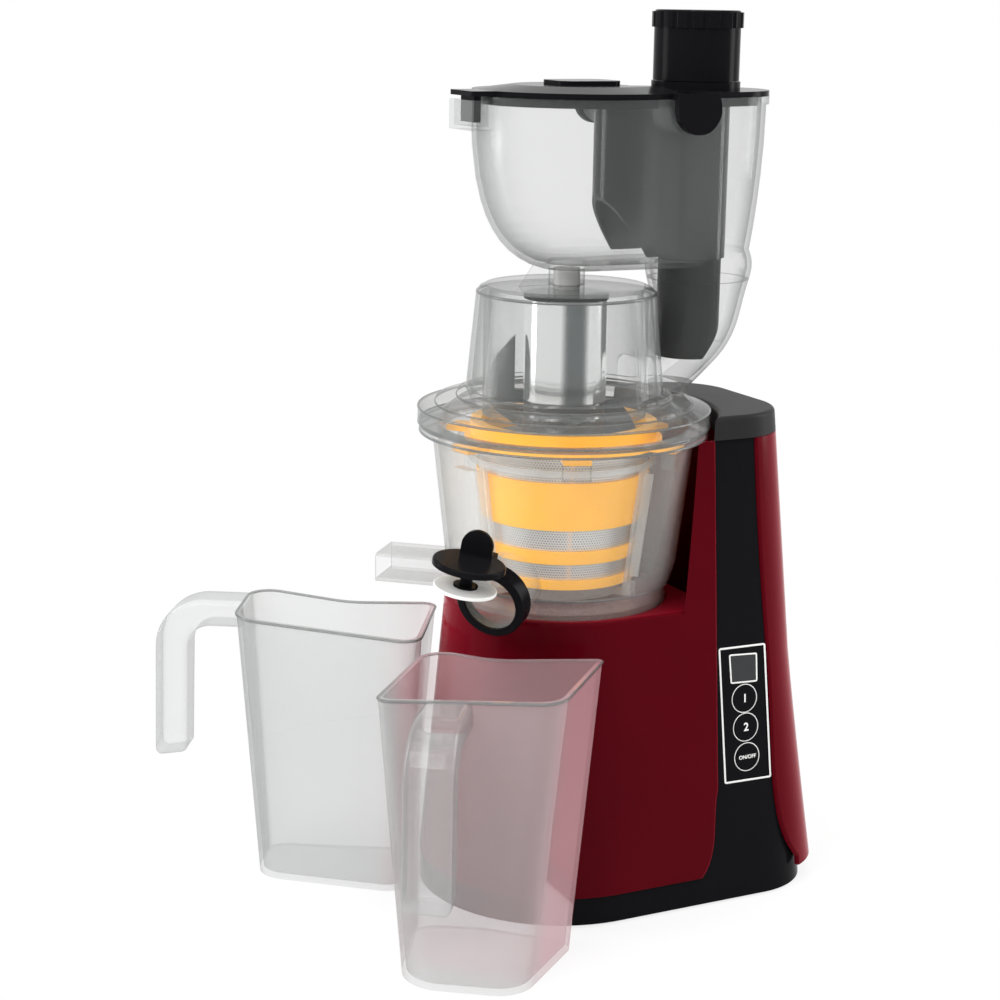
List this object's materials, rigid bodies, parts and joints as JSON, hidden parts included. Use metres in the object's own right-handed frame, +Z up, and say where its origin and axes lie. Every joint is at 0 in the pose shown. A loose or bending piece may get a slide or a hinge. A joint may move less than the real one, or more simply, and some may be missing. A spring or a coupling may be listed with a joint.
{
  "type": "cold press juicer",
  "caption": "Vertical slow juicer: red drive tower with controls, clear bowl with strainer and auger, big feed hopper with lid and pusher, and two jugs.",
  "frame": {"origin": "on the table, on the auger's axis, at the underside of the middle foot", "axes": "+Z up along the auger's axis, +Y to the tower, -Y to the front, +X to the side with the controls"},
  "size_m": [0.3195, 0.3549, 0.492],
  "materials": {
    "red_plastic": "deep red high-gloss moulding",
    "black_plastic": "black high-gloss moulding",
    "dark_cap": "dark grey satin",
    "clear_plastic": "clear colourless co-polyester",
    "smoke_plastic": "smoky transparent plastic",
    "frosted_plastic": "milky translucent plastic",
    "display_glass": "dark window",
    "orange_plastic": "orange-yellow moulding",
    "auger_plastic": "dark hard plastic",
    "nylon": "white nylon",
    "gearbox_plastic": "glass-filled grey plastic",
    "silicone": "white silicone",
    "rubber": "black rubber",
    "board": "circuit board laminate",
    "steel_mesh": "etched stainless mesh",
    "polished_steel": "polished stainless steel",
    "shaft_steel": "machined steel",
    "lamination": "stacked electrical steel",
    "copper": "enamelled copper wire",
    "cast_alloy": "cast light alloy"
  },
  "bodies": {
    "base": {"base_plinth": "black_plastic", "rubber_feet": "rubber", "housing_screws": "shaft_steel", "front_shell": "red_plastic", "control_panel": "black_plastic", "left_panel": "black_plastic", "rear_cover": "red_plastic", "tower_cap": "dark_cap", "tower_catch": "black_plastic", "cord_gland": "rubber", "display_window": "display_glass", "control_board": "board", "tact_switches": "black_plastic", "motor_top_bell": "cast_alloy", "motor_bottom_bell": "cast_alloy", "motor_stator": "lamination", "motor_windings": "copper", "gearbox_housing": "gearbox_plastic", "gearbox_lid": "gearbox_plastic"},
    "drive": {"drive_gear": "shaft_steel"},
    "reduction": {"reduction_gear": "nylon"},
    "rotor": {"rotor_shaft": "shaft_steel", "rotor_core": "lamination", "cooling_fan": "black_plastic"},
    "button_one": {"button_one": "black_plastic"},
    "button_two": {"button_two": "black_plastic"},
    "button_power": {"button_power": "black_plastic"},
    "bowl": {"juicing_bowl": "clear_plastic", "bowl_seal": "silicone", "spout_ring": "black_plastic", "cap_hinge_pin": "shaft_steel", "strainer_frame": "orange_plastic", "strainer_mesh": "steel_mesh"},
    "spout_cap": {"spout_cap": "black_plastic", "cap_seal": "silicone"},
    "auger": {"auger": "auger_plastic", "auger_sleeve": "polished_steel", "auger_top": "black_plastic", "feed_fin": "black_plastic", "auger_pin": "polished_steel"},
    "wiper_idler": {"wiper_idler": "nylon"},
    "wiper": {"wiper_frame": "frosted_plastic", "wiper_blades": "silicone"},
    "hopper": {"hopper": "clear_plastic", "hopper_dome": "clear_plastic", "hopper_collar": "clear_plastic", "top_bush": "nylon", "hopper_cover": "black_plastic", "feed_tube": "smoke_plastic", "feed_guide": "smoke_plastic"},
    "lid": {"lid": "black_plastic"},
    "pusher": {"pusher": "black_plastic"},
    "pulp_jug": {"pulp_jug": "clear_plastic"},
    "juice_jug": {"juice_jug": "clear_plastic"}
  },
  "joints": [
    {"name": "drive_spin", "type": "hinge", "parent": "base", "child": "drive", "pos_m": [0, 0, 0.13], "axis": [0, 0, 1], "continuous": true},
    {"name": "reduction_spin", "type": "hinge", "parent": "base", "child": "reduction", "pos_m": [0.01048, 0.03912, 0.118], "axis": [0, 0, 1], "continuous": true},
    {"name": "rotor_spin", "type": "hinge", "parent": "base", "child": "rotor", "pos_m": [-0.02215, 0.02391, 0.07], "axis": [0, 0, 1], "continuous": true},
    {"name": "auger_spin", "type": "hinge", "parent": "bowl", "child": "auger", "pos_m": [0, 0, 0.2], "axis": [0, 0, 1], "continuous": true},
    {"name": "idler_spin", "type": "hinge", "parent": "bowl", "child": "wiper_idler", "pos_m": [0, 0.024, 0.177], "axis": [0, 0, 1], "continuous": true},
    {"name": "wiper_spin", "type": "hinge", "parent": "bowl", "child": "wiper", "pos_m": [0, 0, 0.177], "axis": [0, 0, 1], "continuous": true},
    {"name": "button_one_press", "type": "slide", "parent": "base", "child": "button_one", "axis": [-0.9962, 0, -0.0872], "range_m": [0, 0.0008], "stiffness_N_per_m": 400},
    {"name": "button_two_press", "type": "slide", "parent": "base", "child": "button_two", "axis": [-0.9962, 0, -0.0872], "range_m": [0, 0.0008], "stiffness_N_per_m": 400},
    {"name": "button_power_press", "type": "slide", "parent": "base", "child": "button_power", "axis": [-0.9962, 0, -0.0872], "range_m": [0, 0.0008], "stiffness_N_per_m": 400},
    {"name": "bowl_lift", "type": "slide", "parent": "base", "child": "bowl", "axis": [0, 0, 1], "range_m": [0, 0.12]},
    {"name": "cap_swing", "type": "hinge", "parent": "bowl", "child": "spout_cap", "pos_m": [0.06568, -0.07819, 0.20819], "axis": [0.7557, 0.6328, -0.1685], "range_deg": [0, 104]},
    {"name": "hopper_lift", "type": "slide", "parent": "bowl", "child": "hopper", "axis": [0, 0, 1], "range_m": [0, 0.12]},
    {"name": "lid_swing", "type": "hinge", "parent": "hopper", "child": "lid", "pos_m": [0, 0.0462, 0.4413], "axis": [-1, 0, 0], "range_deg": [0, 70]},
    {"name": "pusher_lift", "type": "slide", "parent": "hopper", "child": "pusher", "axis": [0, 0, 1], "range_m": [0, 0.15]},
    {"name": "pulp_jug_slide", "type": "slide", "parent": "base", "child": "pulp_jug", "axis": [-0.6652, -0.7466, 0], "range_m": [0, 0.15]},
    {"name": "juice_jug_slide", "type": "slide", "parent": "base", "child": "juice_jug", "axis": [0.6561, -0.7547, 0], "range_m": [0, 0.15]}
  ],
  "couplings": [
    {"joint": "reduction_spin", "follows": "drive_spin", "ratio": -2.8571},
    {"joint": "rotor_spin", "follows": "drive_spin", "ratio": 14.286},
    {"joint": "auger_spin", "follows": "drive_spin", "ratio": 1},
    {"joint": "idler_spin", "follows": "drive_spin", "ratio": -3},
    {"joint": "wiper_spin", "follows": "drive_spin", "ratio": -0.6}
  ]
}
